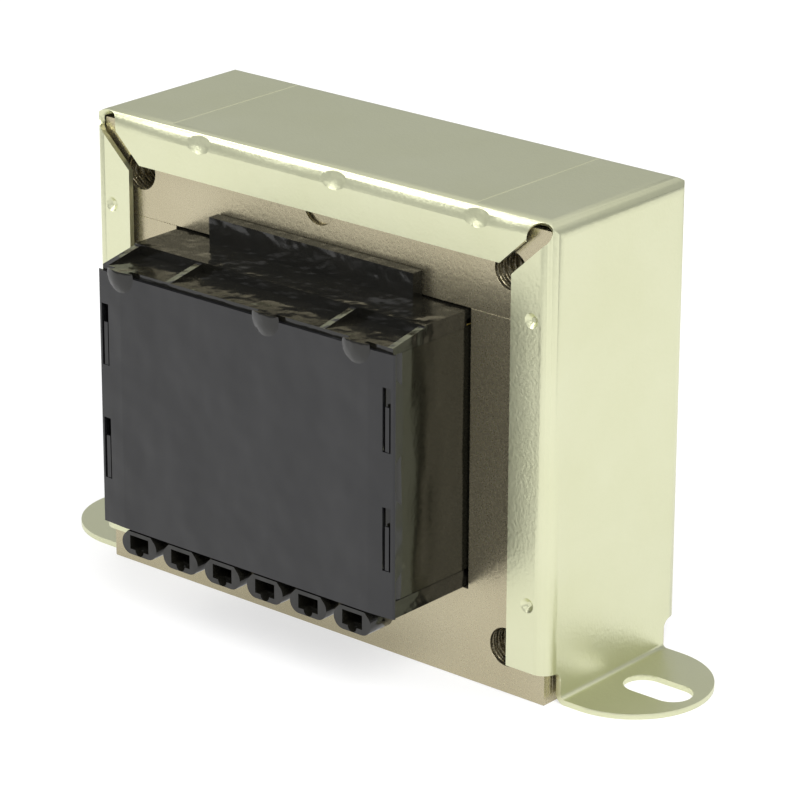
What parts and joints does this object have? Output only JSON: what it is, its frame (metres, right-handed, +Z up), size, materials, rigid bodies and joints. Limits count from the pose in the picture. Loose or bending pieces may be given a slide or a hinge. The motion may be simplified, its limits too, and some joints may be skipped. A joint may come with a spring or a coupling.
{
  "type": "laminated chassis transformer",
  "caption": "Laminated transformer in a folded steel channel with slotted feet, with a covered winding on a socketed bobbin and solder tags at the rear.",
  "frame": {"origin": "midway between the two fixing slots, at the underside of the feet", "axes": "+X along the feet, +Y through the stack towards the solder tags, +Z up from the chassis"},
  "size_m": [0.092, 0.0531, 0.0561],
  "materials": {
    "zinc_strip": "yellow passivated zinc",
    "core_sheet": "varnished",
    "bobbin_black": "varnished",
    "cover_black": "varnished",
    "wrap_black": "varnished",
    "copper": "enamelled wire",
    "tape": "polyester tape",
    "tinned_brass": "tinned"
  },
  "bodies": {
    "root": {"frame": "zinc_strip", "e_sheets_upright": "core_sheet", "i_sheets_top": "core_sheet", "e_sheets_inverted": "core_sheet", "i_sheets_bottom": "core_sheet", "bobbin": "bobbin_black", "primary_winding": "copper", "primary_tape": "tape", "secondary_winding_inner": "copper", "secondary_inner_tape": "tape", "secondary_winding_outer": "copper", "secondary_outer_tape": "tape", "outer_wrap": "wrap_black", "front_cover": "cover_black", "rear_cover": "cover_black", "solder_tag_1": "tinned_brass", "solder_tag_2": "tinned_brass", "solder_tag_3": "tinned_brass", "solder_tag_4": "tinned_brass", "solder_tag_5": "tinned_brass", "solder_tag_6": "tinned_brass", "lead_wire_1": "copper", "lead_wire_2": "copper", "lead_wire_3": "copper", "lead_wire_4": "copper", "lead_wire_5": "copper", "lead_wire_6": "copper"}
  },
  "joints": []
}
